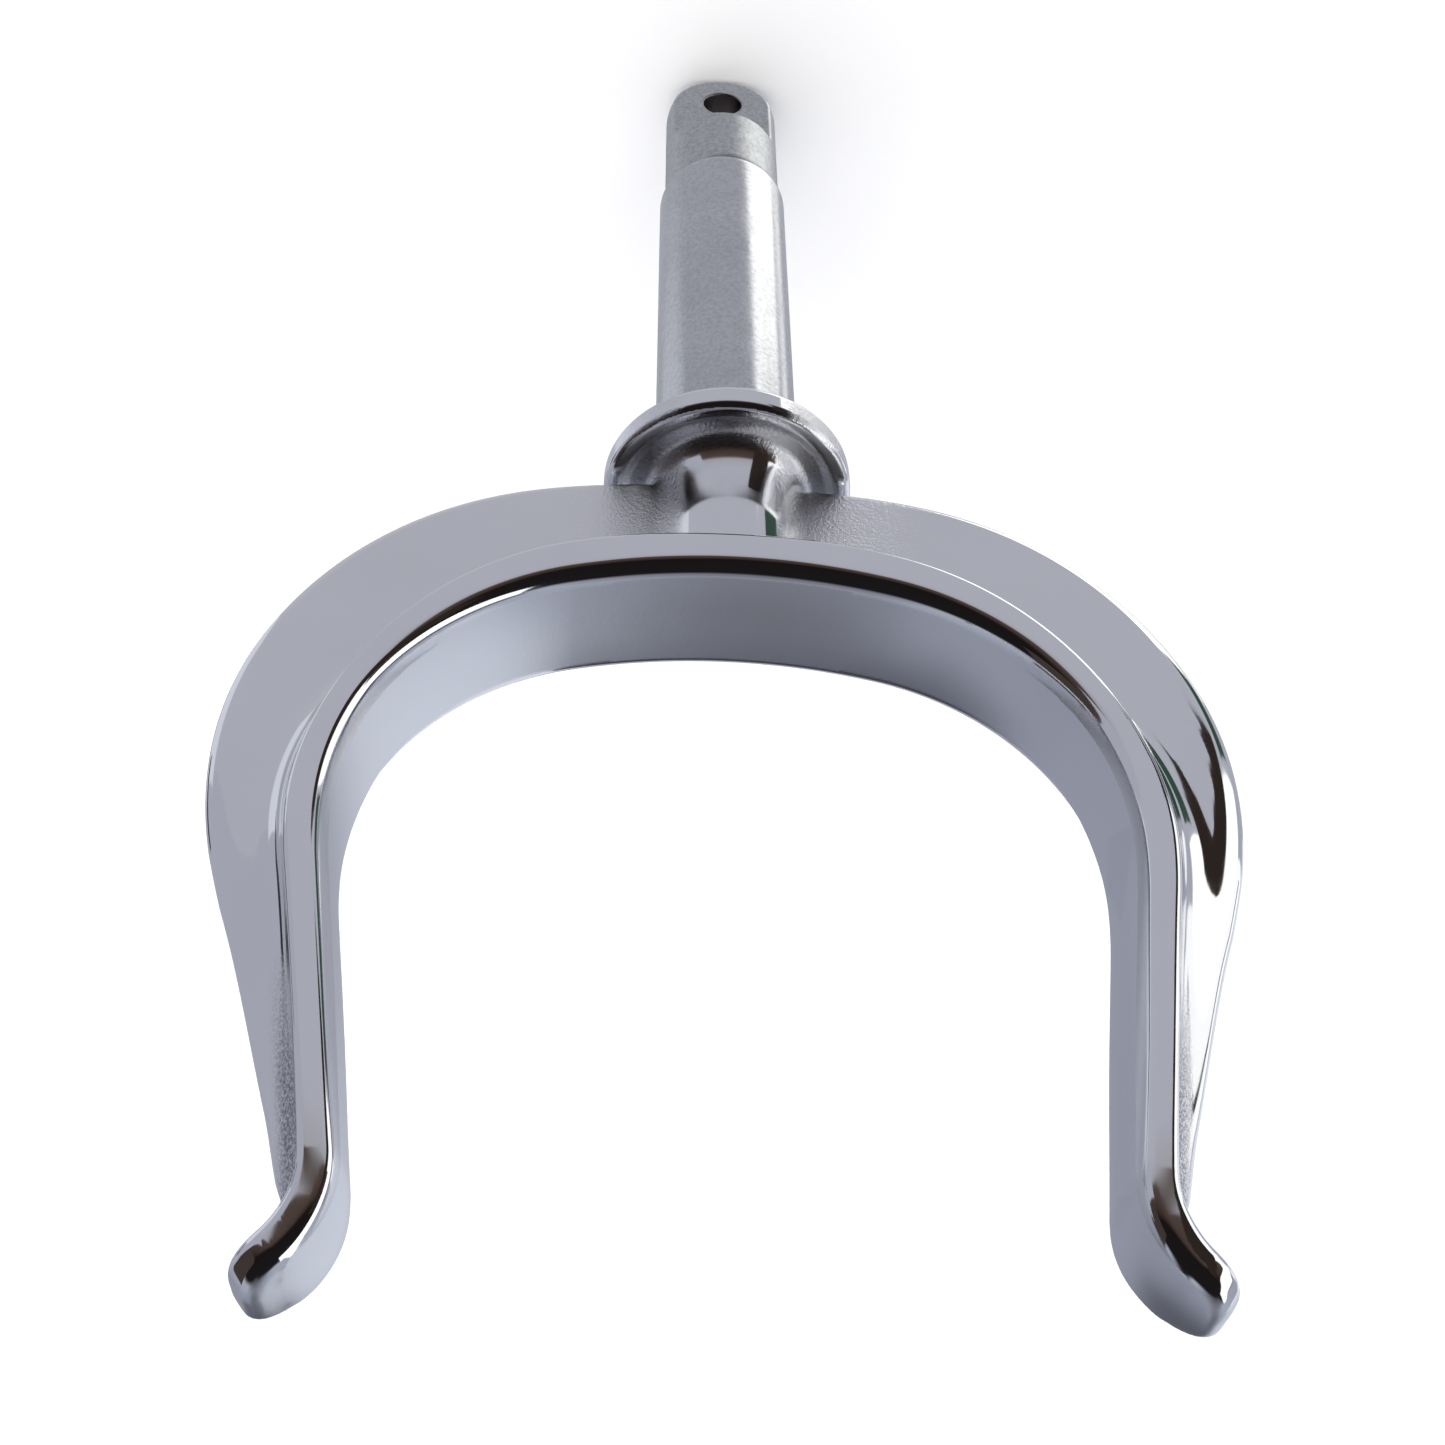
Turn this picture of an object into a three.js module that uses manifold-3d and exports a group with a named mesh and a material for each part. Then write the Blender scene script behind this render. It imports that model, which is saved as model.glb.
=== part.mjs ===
// Rowlock crutch: a T-section casting that holds an oar and swivels in a socket on its round shank.
// Millimetres. The shank hangs down -Z from the origin, the horns rise along +Z and spread along X,
// and the oar lies along Y. The origin is on the shank axis, in the plane of the collar's seat.

import * as THREE from 'three';
import { mergeVertices } from 'three/addons/utils/BufferGeometryUtils.js';
import Module from 'manifold-3d';

const wasm = await Module();
wasm.setup();

// ---- driving dimensions -------------------------------------------------------------------------

const DEGREE = Math.PI / 180;

const shankDiameter = 12.7;
const shankLength = 41.3;
const shankChamfer = 0.5;

const eye = {
  diameter: 11.7,
  length: 20.1,
  ledgeDepth: 8.7,
  tangThickness: 6,
  holeDiameter: 4,
  holeDepth: 15,
  crownHeight: 5.4,
};

const collar = {
  diameter: 21.6,
  rim: 2.6,
  rimWidth: 1.7,
  edgeRadius: 0.7,
  dish: 2,
  flareReach: 2.1,
  flareTop: 8,
  recess: 1.4,
};

const neckDiameter = 11;
const neckFlare = 0.8;

// The cradle's inner face, from the arch's middle to the tip of a horn. Each stretch has its radius
// and the angle that it turns through; a negative radius bends outwards, and none is a straight.
const archHeight = 17.3;
const horn = { radius: -8.1, turn: 61.5, lip: 2.4 };
const cradleStretches = [
  arcStretch(50, 14.5),
  arcStretch(22.3, 80),
  arcStretch(38.7, 5.7),
  { length: 21.6, radius: Infinity },
  arcStretch(horn.radius, horn.turn),
  { length: horn.lip, radius: Infinity },
];
const cradleLength = cradleStretches.reduce((sum, stretch) => sum + stretch.length, 0);

// Distances along the inner face where one member of the casting ends and the next begins.
const armStart = 44;
const hornStart = 72;
const step = 2;
const hornStep = 1;

// The flange's width along Y, its thickness, and the web's outer edge above the inner face,
// each as [distance along the inner face, size].
const flangeWidth = [[0, 12.4], [30, 11.6], [46, 10.7], [66, 10.4], [73, 9.2], [cradleLength, 7.4]];
const flangeThickness = [[0, 4.3], [13, 4.3], [30, 3], [42, 2.7], [66, 2.7], [75, 3.1], [cradleLength, 3.2]];
const webHeight = [[0, 14.3], [17, 15], [30, 12.8], [46, 8], [64, 5.1], [71, 4.2], [75, 3.2]];
const flangeEdgeRadius = 1.4;
const hornTipRounding = 2.4;
const hornTipFlat = 0.4;
const webThickness = 5;
const webStart = 2;

const curveSteps = 3;
const roundSteps = 40;
const memberGap = 0.3;

// ---- materials ----------------------------------------------------------------------------------

function metal(color, roughness) {
  return new THREE.MeshStandardMaterial({ color, roughness, metalness: 1 });
}

const polishedFlange = () => metal(0xc4c6cc, 0.12);
const polishedWeb = () => metal(0xb9bbc4, 0.18);
const satinShank = () => metal(0xa9acb2, 0.35);
const dullTip = () => metal(0x9da3a6, 0.45);

// ---- the cradle's path --------------------------------------------------------------------------

function arcStretch(radius, degrees) {
  return { length: Math.abs(radius) * degrees * DEGREE, radius };
}

// Point and heading at a distance along the inner face, for the half with positive X.
function cradleFrame(distance) {
  let x = 0;
  let z = archHeight;
  let heading = 0;
  let left = distance;
  for (const { length, radius } of cradleStretches) {
    const travelled = Math.min(left, length);
    if (Number.isFinite(radius)) {
      const turned = heading + travelled / radius;
      x += radius * (Math.sin(turned) - Math.sin(heading));
      z += radius * (Math.cos(heading) - Math.cos(turned));
      heading = turned;
    } else {
      x += travelled * Math.cos(heading);
      z += travelled * Math.sin(heading);
    }
    left -= travelled;
    if (left <= 0) break;
  }
  return { x, z, heading };
}

// The point that stands off the inner face by a height, on the outer side, at a place along Y.
function onCradle(distance, y, height) {
  const { x, z, heading } = cradleFrame(Math.abs(distance));
  const across = x + height * Math.sin(heading);
  return new THREE.Vector3(Math.sign(distance) * across, y, z - height * Math.cos(heading));
}

// Slope of a size list at one of its points: level at both ends, else from neighbour to neighbour.
function slopeAt(list, index) {
  const before = list[index - 1];
  const after = list[index + 1];
  return before && after ? (after[1] - before[1]) / (after[0] - before[0]) : 0;
}

// Size at a distance along the inner face, on the smooth curve through the points of a size list.
function sizeAt(list, distance) {
  const place = Math.min(Math.abs(distance), list.at(-1)[0]);
  const next = Math.max(1, list.findIndex(([at]) => at >= place));
  const [startAt, startSize] = list[next - 1];
  const [endAt, endSize] = list[next];
  const span = endAt - startAt;
  const t = (place - startAt) / span;
  const startPull = slopeAt(list, next - 1) * span * t * (1 - t) * (1 - t);
  const endPull = slopeAt(list, next) * span * t * t * (1 - t);
  const blend = t * t * (3 - 2 * t);
  return startSize + (endSize - startSize) * blend + startPull - endPull;
}

// The flange keeps its full section up to the horn's tip, where it closes to a small flat.
function tipFactor(distance) {
  const into = Math.abs(distance) - (cradleLength - hornTipRounding);
  if (into <= 0) return 1;
  const reach = into / hornTipRounding;
  return Math.max(hornTipFlat, Math.sqrt(Math.max(0, 1 - reach * reach)));
}

function flangePoint(distance, across, through) {
  const factor = tipFactor(distance);
  const y = across * sizeAt(flangeWidth, distance) * factor;
  const height = (0.5 + (through - 0.5) * factor) * sizeAt(flangeThickness, distance);
  return onCradle(distance, y, height);
}

function webPoint(distance, across, through) {
  const root = sizeAt(flangeThickness, distance);
  const height = root + through * (sizeAt(webHeight, distance) - root);
  return onCradle(distance, across * webThickness, height);
}

// ---- geometry helpers ---------------------------------------------------------------------------

// Extrudes a section of unit size and bends it along the cradle, one station per step.
function bentExtrusion(section, from, to, spacing, placePoint) {
  const geometry = new THREE.ExtrudeGeometry(section, {
    depth: to - from,
    steps: Math.round((to - from) / spacing),
    bevelEnabled: false,
    curveSegments: curveSteps,
  });
  const position = geometry.getAttribute('position');
  for (let i = 0; i < position.count; i += 1) {
    const point = placePoint(from + position.getZ(i), position.getX(i), position.getY(i));
    position.setXYZ(i, point.x, point.y, point.z);
  }
  return faceOutwards(geometry);
}

function signedVolume(geometry) {
  const position = geometry.getAttribute('position');
  const corners = [new THREE.Vector3(), new THREE.Vector3(), new THREE.Vector3()];
  let volume = 0;
  for (let i = 0; i < position.count; i += 3) {
    corners.forEach((corner, k) => corner.fromBufferAttribute(position, i + k));
    volume += corners[0].dot(corners[1].clone().cross(corners[2])) / 6;
  }
  return volume;
}

// Turns every triangle of an unindexed geometry over when its faces point inwards.
function faceOutwards(geometry) {
  if (signedVolume(geometry) > 0) return geometry;
  const position = geometry.getAttribute('position');
  const second = new THREE.Vector3();
  const third = new THREE.Vector3();
  for (let i = 0; i < position.count; i += 3) {
    second.fromBufferAttribute(position, i + 1);
    third.fromBufferAttribute(position, i + 2);
    position.setXYZ(i + 1, third.x, third.y, third.z);
    position.setXYZ(i + 2, second.x, second.y, second.z);
  }
  return geometry;
}

// A solid of revolution about Z from [radius, z] points that start and end on the axis, anticlockwise.
function turned(profile) {
  const points = profile.map(([radius, z]) => new THREE.Vector2(radius, z));
  const geometry = new THREE.LatheGeometry(points, roundSteps);
  geometry.rotateX(Math.PI / 2);
  return geometry;
}

function toSolid(geometry) {
  const bare = geometry.clone();
  bare.deleteAttribute('normal');
  bare.deleteAttribute('uv');
  const merged = mergeVertices(bare, 1e-4);
  const solid = new wasm.Manifold(new wasm.Mesh({
    numProp: 3,
    vertProperties: new Float32Array(merged.getAttribute('position').array),
    triVerts: new Uint32Array(merged.getIndex().array),
  }));
  return solid;
}

function toGeometry(solid) {
  const mesh = solid.getMesh();
  const geometry = new THREE.BufferGeometry();
  geometry.setAttribute('position', new THREE.BufferAttribute(mesh.vertProperties, 3));
  geometry.setIndex(new THREE.BufferAttribute(mesh.triVerts, 1));
  geometry.computeVertexNormals();
  return geometry;
}

// Points on an arc from one angle to another, both in degrees, with both ends.
function arcPoints(centreRadius, centreZ, radius, from, to, count) {
  return Array.from({ length: count + 1 }, (_, i) => {
    const angle = (from + ((to - from) * i) / count) * DEGREE;
    return [centreRadius + radius * Math.cos(angle), centreZ + radius * Math.sin(angle)];
  });
}

// ---- sections -----------------------------------------------------------------------------------

// Unit section of the flange: X is across the width, Y runs from the inner face to the outer one.
function flangeSection() {
  const cornerX = flangeEdgeRadius / flangeWidth[0][1];
  const cornerY = flangeEdgeRadius / flangeThickness[0][1];
  const section = new THREE.Shape();
  section.absellipse(0.5 - cornerX, cornerY, cornerX, cornerY, -Math.PI / 2, 0);
  section.absellipse(0.5 - cornerX, 1 - cornerY, cornerX, cornerY, 0, Math.PI / 2);
  section.absellipse(-0.5 + cornerX, 1 - cornerY, cornerX, cornerY, Math.PI / 2, Math.PI);
  section.absellipse(-0.5 + cornerX, cornerY, cornerX, cornerY, Math.PI, 1.5 * Math.PI);
  section.closePath();
  return section;
}

// Unit section of the web: square at its root, half round at its outer edge.
function webSection() {
  const crown = 0.25;
  const section = new THREE.Shape();
  section.moveTo(-0.5, 0);
  section.lineTo(0.5, 0);
  section.absellipse(0, 1 - crown, 0.5, crown, 0, Math.PI);
  section.closePath();
  return section;
}

// Rounded rim, shallow dish and tall concave flare of the collar, from the seat up to the neck, grown
// by a clearance.
function collarProfile(clearance) {
  const edge = collar.edgeRadius + clearance;
  const edgeCentre = collar.diameter / 2 - collar.edgeRadius;
  const dishZ = collar.dish + clearance;
  const dishRadius = collar.diameter / 2 - collar.rimWidth - clearance;
  const flareRadius = neckDiameter / 2 + clearance + collar.flareReach;
  const flareHeight = collar.flareTop - dishZ;
  const flare = arcPoints(0, 0, 1, 270, 180, 7).map(([across, up]) => [
    flareRadius + collar.flareReach * across,
    collar.flareTop + flareHeight * up,
  ]);
  return [
    ...arcPoints(edgeCentre, collar.edgeRadius, edge, -90, 0, 3),
    ...arcPoints(edgeCentre, collar.rim - collar.edgeRadius, edge, 0, 90, 3),
    [dishRadius, dishZ],
    ...flare,
  ];
}

// ---- members ------------------------------------------------------------------------------------

const cradleBottomZ = archHeight - flangeThickness[0][1];

// The collar is a cap on the shank's root, so its seat is a flat ring around the shank.
function collarGeometry() {
  const boreRadius = shankDiameter / 2;
  const recess = [[0, collar.recess], [boreRadius, collar.recess], [boreRadius, 0]];
  return turned([...recess, ...collarProfile(0), [0, collar.flareTop]]);
}

// The neck's side, which flares where it meets the arch, grown by a clearance.
function neckProfile(clearance) {
  const radius = neckDiameter / 2 + clearance;
  const flareZ = cradleBottomZ - neckFlare - clearance;
  return arcPoints(radius + neckFlare, flareZ, neckFlare, 180, 90, 3);
}

function neckGeometry() {
  const radius = neckDiameter / 2;
  return turned([[0, collar.flareTop], [radius, collar.flareTop], ...neckProfile(0), [0, cradleBottomZ]]);
}

function shankGeometry() {
  const radius = shankDiameter / 2;
  return turned([
    [0, -shankLength],
    [radius - shankChamfer, -shankLength],
    [radius, -shankLength + shankChamfer],
    [radius, collar.recess],
    [0, collar.recess],
  ]);
}

// The retaining eye: turned down below the shank, milled flat on both sides, rounded and drilled.
function eyeGeometry() {
  const radius = eye.diameter / 2;
  const endZ = -shankLength - eye.length;
  const crownZ = endZ + eye.crownHeight;
  const crown = arcPoints(0, 0, 1, -90, 0, 8).slice(1).map(([across, up]) => [
    radius * across,
    crownZ + eye.crownHeight * up,
  ]);
  const blank = toSolid(turned([[0, endZ], ...crown, [radius, -shankLength], [0, -shankLength]]));

  const flatHeight = eye.length - eye.ledgeDepth + 1;
  const flat = new THREE.BoxGeometry(eye.diameter * 2, eye.diameter, flatHeight);
  const flatZ = -shankLength - eye.ledgeDepth - flatHeight / 2;
  const flatY = eye.tangThickness / 2 + eye.diameter / 2;
  const frontCut = toSolid(flat.clone().translate(0, -flatY, flatZ));
  const backCut = toSolid(flat.clone().translate(0, flatY, flatZ));

  const holeRadius = eye.holeDiameter / 2;
  const drill = new THREE.CylinderGeometry(holeRadius, holeRadius, eye.diameter * 2, 24);
  const hole = toSolid(drill.translate(0, 0, -shankLength - eye.holeDepth));
  return toGeometry(blank.subtract(frontCut).subtract(backCut).subtract(hole));
}

function webGeometry(side) {
  const blank = bentExtrusion(webSection(), webStart, hornStart, step, (distance, across, through) => {
    const point = webPoint(distance, across, through);
    return point.setX(point.x * side);
  });
  const sides = [...collarProfile(memberGap), ...neckProfile(memberGap)];
  const flareRadius = neckDiameter / 2 + memberGap + neckFlare;
  const core = turned([[0, -memberGap], ...sides, [flareRadius, archHeight], [0, archHeight]]);
  return toGeometry(toSolid(blank).subtract(toSolid(core)));
}

function sidePiece(from, to, spacing, side) {
  return bentExtrusion(flangeSection(), from, to, spacing, (distance, across, through) => {
    const point = flangePoint(distance, across, through);
    return point.setX(point.x * side);
  });
}

// ---- assembly -----------------------------------------------------------------------------------

const group = new THREE.Group();

function addMember(name, geometry, material) {
  const mesh = new THREE.Mesh(geometry, material);
  mesh.name = name;
  group.add(mesh);
}

const arch = bentExtrusion(flangeSection(), -armStart, armStart, step, flangePoint);
addMember('cradle_arch', arch, polishedFlange());
for (const [hand, side] of [['left', -1], ['right', 1]]) {
  addMember(`${hand}_arm`, sidePiece(armStart, hornStart, step, side), polishedFlange());
  addMember(`${hand}_horn`, sidePiece(hornStart, cradleLength, hornStep, side), polishedFlange());
  addMember(`${hand}_web`, webGeometry(side), polishedWeb());
}
addMember('neck', neckGeometry(), polishedWeb());
addMember('collar', collarGeometry(), polishedFlange());
addMember('shank', shankGeometry(), satinShank());
addMember('retaining_eye', eyeGeometry(), dullTip());

export default group;
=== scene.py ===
"""A polished rowlock crutch: one bright T-section casting on a satin shank with a milled, drilled eye.

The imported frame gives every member's box. The casting, the shank and the eye are meshed here as smooth
surfaces over it, in millimetres, and stored in metres.
"""

import math

import bpy
import numpy as np
from mathutils import Matrix, Vector


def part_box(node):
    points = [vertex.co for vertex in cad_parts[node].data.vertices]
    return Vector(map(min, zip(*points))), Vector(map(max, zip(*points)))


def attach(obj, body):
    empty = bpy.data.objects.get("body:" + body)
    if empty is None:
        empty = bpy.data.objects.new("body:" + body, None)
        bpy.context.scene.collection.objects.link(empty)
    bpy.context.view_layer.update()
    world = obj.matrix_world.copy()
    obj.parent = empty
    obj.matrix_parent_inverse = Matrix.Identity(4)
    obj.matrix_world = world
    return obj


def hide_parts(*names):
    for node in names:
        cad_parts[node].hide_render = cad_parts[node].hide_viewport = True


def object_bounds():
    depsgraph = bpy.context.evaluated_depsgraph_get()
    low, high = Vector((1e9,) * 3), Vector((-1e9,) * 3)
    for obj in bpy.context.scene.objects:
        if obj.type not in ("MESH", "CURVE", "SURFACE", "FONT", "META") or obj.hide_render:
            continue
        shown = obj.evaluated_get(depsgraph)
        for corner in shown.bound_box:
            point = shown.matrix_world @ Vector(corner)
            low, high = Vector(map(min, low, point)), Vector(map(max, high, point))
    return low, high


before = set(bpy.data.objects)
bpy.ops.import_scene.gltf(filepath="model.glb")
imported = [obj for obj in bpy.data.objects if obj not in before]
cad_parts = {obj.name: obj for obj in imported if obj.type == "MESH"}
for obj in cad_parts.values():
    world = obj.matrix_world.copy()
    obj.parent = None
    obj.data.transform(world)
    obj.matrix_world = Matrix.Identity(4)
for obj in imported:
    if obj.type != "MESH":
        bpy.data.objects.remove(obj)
cad_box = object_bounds()

MM = 0.001


def node_box(node):
    """Lowest and highest corner of a CAD node, in millimetres."""
    low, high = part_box(node)
    return np.array(low) / MM, np.array(high) / MM


# ---- sizes, in millimetres ----------------------------------------------------------------------

shank_low, shank_high = node_box("shank")
eye_low, eye_high = node_box("retaining_eye")
collar_low, collar_high = node_box("collar")
arch_low = node_box("cradle_arch")[0]

SHANK_RADIUS = shank_high[0]
SHANK_END = shank_low[2]
SHANK_TOP = shank_high[2]
SHANK_CHAMFER = 0.5
SHANK_FILLET = 0.45
SEAT_OVERLAP = 0.05

EYE_RADIUS = eye_high[0]
EYE_END = eye_low[2]
EYE_LEDGE = SHANK_END - 8.7
EYE_HOLE = SHANK_END - 15.0
EYE_HOLE_RADIUS = 2.0
EYE_HALF_TANG = 3.0
EYE_CROWN = 5.4
EYE_OVERLAP = 0.5
EYE_CORNER_RADIUS = 0.5
EYE_EDGE_RADIUS = 0.22
EYE_HOLE_EDGE = 0.15

COLLAR_RADIUS = collar_high[0]
COLLAR_RIM = 2.6
COLLAR_EDGE = 0.7
COLLAR_DISH = 2.0
RIM_WIDTH = 1.7
FLARE_REACH = 2.1
FLARE_HEIGHT = 6.0
FLARE_MARGIN = 0.2
NECK_RADIUS = 5.5
NECK_TOP = 14.0

ARCH_THICKNESS = 4.3
ARCH_HEIGHT = arch_low[2] + ARCH_THICKNESS
HORN_END_RADIUS = 2.9
BEARING_CROWN = 0.6
WEB_HALF_THICKNESS = 2.3
WEB_DRAFT = 0.03
WEB_FOOT = 1.3
CREST_SHARE = 0.75
LEAST_CREST_DEPTH = 0.5

# The cradle's inner face, from the arch's middle to a horn's tip: radius and turn in degrees, or
# None and a straight's length. A negative radius bends outwards.
CRADLE_PATH = [(50.0, 14.5), (22.3, 80.0), (38.7, 5.7), (None, 21.6), (-8.1, 61.5), (None, 2.4)]

# Sizes along the inner face, each as (distance, size). The web ends where its height, measured from
# the inner face, falls below the flange's thickness.
FLANGE_WIDTH = [(0, 12.4), (30, 11.6), (46, 10.7), (66, 10.4), (73, 9.2), (80.3, 7.4)]
FLANGE_THICKNESS = [(0, 4.3), (13, 4.3), (30, 3.0), (42, 2.7), (66, 2.7), (75, 3.1), (80.3, 3.2)]
FRONT_CROWN = [(56, 0.0), (70, 0.14), (80.3, 0.14)]
INNER_EDGE_RADIUS = [
    (0, 1.5), (18, 1.4), (30, 1.1), (42, 0.65), (50, 0.55), (69, 0.6), (76, 0.9), (80.3, 1.0),
]
OUTER_EDGE_RADIUS = [(0, 0.5), (30, 0.5), (50, 0.55), (70, 0.65), (76, 0.9), (80.3, 1.1)]
WEB_HEIGHT = [(0, 14.3), (17, 15.0), (30, 12.8), (46, 8.0), (64, 5.1), (71, 4.2), (75, 2.6), (80.3, -3)]
CREST_DEPTH = [
    (0, 0.7), (14, 0.8), (24, 1.2), (34, 2.1), (42, 3.1), (50, 3.4), (58, 3.8), (66, 3.4), (80.3, 1.5),
]
CREST_ROUNDING = [(0, 0.6), (14, 0.7), (24, 0.9), (34, 1.4), (44, 1.9), (52, 2.1), (80.3, 2.1)]
ROOT_FILLET = [(0, 0.4), (15, 0.5), (25, 1.3), (36, 3.4), (42, 3.8), (50, 3.4), (58, 2.9), (74, 1.4)]

# Fillets by level, each as (Z, radius): from the collar's rim to its dish, and from web to core.
RIM_CREASE = [(1.2, 0.02), (2.0, 0.8)]
CORE_FILLET = [(2, 0.6), (8, 1.5)]

# A fillet's exponent, 2 being a true arc, and where an edge's radius passes from inner to outer,
# as shares of the flange's thickness.
EASING = 2.2
EDGE_CHANGE = (0.3, 0.7)

# The crown meets the limbs at CROWN_END along the inner face. Its grid reaches out to CROWN_CUT, and
# a limb's skirt runs a little under it.
CROWN_END = 9.6
CROWN_CUT = 15.0
CROWN_HEADROOM = 6.0
CROWN_PITCH = 0.2
SKIRT_LENGTH = 0.3
SKIRT_DEPTH = 0.06

# Rings and points of the other meshes. Points gather where a limb's section turns.
STATION_GAP = 0.4
END_STATIONS = 9
CAP_RINGS = 7
SECTION_POINTS = 72
FINE_POINTS = 260
TURN_WEIGHT = 4.0
EYE_PITCH = 0.2
SHANK_SIDES = 128
SHANK_ROWS = 40
ROW_GAP = 0.3
ARC_STEPS = 6
INNER_RING = 0.6

# How far relaxing moves a point, and the least values that keep divisions and ties safe.
RELAXING = 0.6
LEAST_STEEPNESS = 0.2
LEAST_SIZE = 0.01
LEAST_WEIGHT = 1e-9
END_MARGIN = 0.01

# Masks for the materials: each pair is the value where a mask is 0, then the value where it is 1.
SATIN_RIM = (0.25, -0.05)
SATIN_HEIGHT = (1.0, 0.6)
NOSE_DISTANCE = (79.0, 79.7)
NOSE_HALF_WIDTH = (2.3, 1.7)
ROOT_REACH = (22.0, 8.0)
ROOT_SIDE = (3.6, 5.4)
ROOT_FACING = (0.3, 0.7)
ROOT_BOTTOM = (0.1, 0.8)
DISH_REACH = (10.4, 9.2)
DISH_FACING = (0.35, 0.7)
DISH_TOP = (7.5, 6.0)
DISH_GRAIN = 0.7
SKIN_TOP = (1.9, 0.7)
SKIN_EDGE = (0.8, 2.0)
SKIN_BOTTOM = (0.8, 1.1)
SKIN_DISTANCE = (52.0, 64.0)
MILLED_SIDE = (0.25, 0.05)
MILLED_TOP = (0.4, 0.0)
BORE_REACH = (0.25, 0.05)
# Painted shade on the eye: a dark band just under the shank's end, stronger on the -X side, as a painted
# shadow and painted dark reflection.
SHADE_RISE = (-1.3, -0.3)
SHADE_SIDE = (3.0, -0.5)


# ---- fields: signed distances, negative inside --------------------------------------------------


def smooth_size(table, distance):
    """Cubic curve through a size table, level at both ends."""
    at, size = np.array(table, float).T
    slope = np.zeros(len(at))
    slope[1:-1] = (size[2:] - size[:-2]) / (at[2:] - at[:-2])
    place = np.clip(distance, at[0], at[-1])
    k = np.clip(np.searchsorted(at, place) - 1, 0, len(at) - 2)
    span = at[k + 1] - at[k]
    t = (place - at[k]) / span
    blend = t * t * (3 - 2 * t)
    pull = slope[k] * span * t * (1 - t) ** 2 - slope[k + 1] * span * t * t * (1 - t)
    return size[k] + (size[k + 1] - size[k]) * blend + pull


def joined(a, b, radius):
    """Union of two fields with a fillet that eases in a little, so that reflections run smoothly."""
    u = np.maximum(radius - a, 0)
    v = np.maximum(radius - b, 0)
    return np.maximum(radius, np.minimum(a, b)) - (u**EASING + v**EASING) ** (1 / EASING)


def trimmed(a, b, radius):
    """Intersection of two fields with a rounded edge."""
    return -joined(-a, -b, radius)


def moved(start, heading, travelled, radius):
    """Point and heading after a way along an arc, or along a straight when the radius is None."""
    if radius is None:
        return start + travelled * np.array([math.cos(heading), math.sin(heading)]), heading
    turned = heading + travelled / radius
    across = radius * (math.sin(turned) - math.sin(heading))
    return start + np.array([across, radius * (math.cos(heading) - math.cos(turned))]), turned


def cradle_stretches():
    """Each stretch's start, heading, distance so far, length and radius, then the tip and its heading."""
    start, heading, along = np.array([0.0, ARCH_HEIGHT]), 0.0, 0.0
    stretches = []
    for radius, size in CRADLE_PATH:
        length = size if radius is None else abs(radius) * math.radians(size)
        stretches.append((start, heading, along, length, radius))
        start, heading = moved(start, heading, length, radius)
        along += length
    return stretches, start, heading, along


STRETCHES, TIP, TIP_HEADING, CRADLE_LENGTH = cradle_stretches()


def cradle_frame(distance):
    """Point (x, z) of the inner face and its heading at a distance from the arch's middle."""
    for start, heading, along, length, radius in STRETCHES:
        if distance <= along + length:
            break
    return moved(start, heading, distance - along, radius)


def cradle_coordinates(x, z):
    """Distance along the inner face, height off it on its outer side, and how far past the tip."""
    x = np.abs(x)
    best = None
    for start, heading, along, length, radius in STRETCHES:
        if radius is None:
            angle = heading
            way = (x - start[0]) * math.cos(heading) + (z - start[1]) * math.sin(heading)
            near = np.clip(way, 0, length)
            foot_x = start[0] + near * math.cos(heading)
            foot_z = start[1] + near * math.sin(heading)
        else:
            centre_x = start[0] - radius * math.sin(heading)
            centre_z = start[1] + radius * math.cos(heading)
            side = math.copysign(1, radius)
            low, high = sorted((heading, heading + length / radius))
            angle = np.clip(np.arctan2(side * (x - centre_x), -side * (z - centre_z)), low, high)
            near = (angle - heading) * radius
            foot_x = centre_x + radius * np.sin(angle)
            foot_z = centre_z - radius * np.cos(angle)
        gap = np.hypot(x - foot_x, z - foot_z)
        height = (x - foot_x) * np.sin(angle) - (z - foot_z) * np.cos(angle)
        found = (gap, along + near, height)
        if best is None:
            best = found
        else:
            closer = gap < best[0]
            best = [np.where(closer, new, old) for new, old in zip(found, best)]
    past = (x - TIP[0]) * math.cos(TIP_HEADING) + (z - TIP[1]) * math.sin(TIP_HEADING)
    past = np.where(best[1] > CRADLE_LENGTH - END_MARGIN, np.maximum(past, 0), 0)
    tip_height = (x - TIP[0]) * math.sin(TIP_HEADING) - (z - TIP[1]) * math.cos(TIP_HEADING)
    return best[1], np.where(past > 0, tip_height, best[2]), past


def flange_field(distance, height, past, y):
    """The cradle's flange: slightly crowned faces, rounded edges and a rounded horn tip."""
    thickness = smooth_size(FLANGE_THICKNESS, distance)
    half = smooth_size(FLANGE_WIDTH, distance) / 2
    end = distance + past - (CRADLE_LENGTH - HORN_END_RADIUS)
    side = np.abs(y) - (half - HORN_END_RADIUS)
    corner = np.hypot(np.maximum(end, 0), np.maximum(side, 0))
    plan = corner - HORN_END_RADIUS + np.minimum(np.maximum(end, side), 0)
    middle = np.clip(2 * height / thickness - 1, -1, 1)
    plan = plan + smooth_size(FRONT_CROWN, distance) * middle**2
    crown = BEARING_CROWN * (y / half) ** 2
    slab = np.maximum(crown - height, height - thickness)
    inner = smooth_size(INNER_EDGE_RADIUS, distance)
    outer = smooth_size(OUTER_EDGE_RADIUS, distance)
    edge = inner + (outer - inner) * step_up(*EDGE_CHANGE, (height - crown) / (thickness - crown))
    return trimmed(slab, plan, edge)


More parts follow.
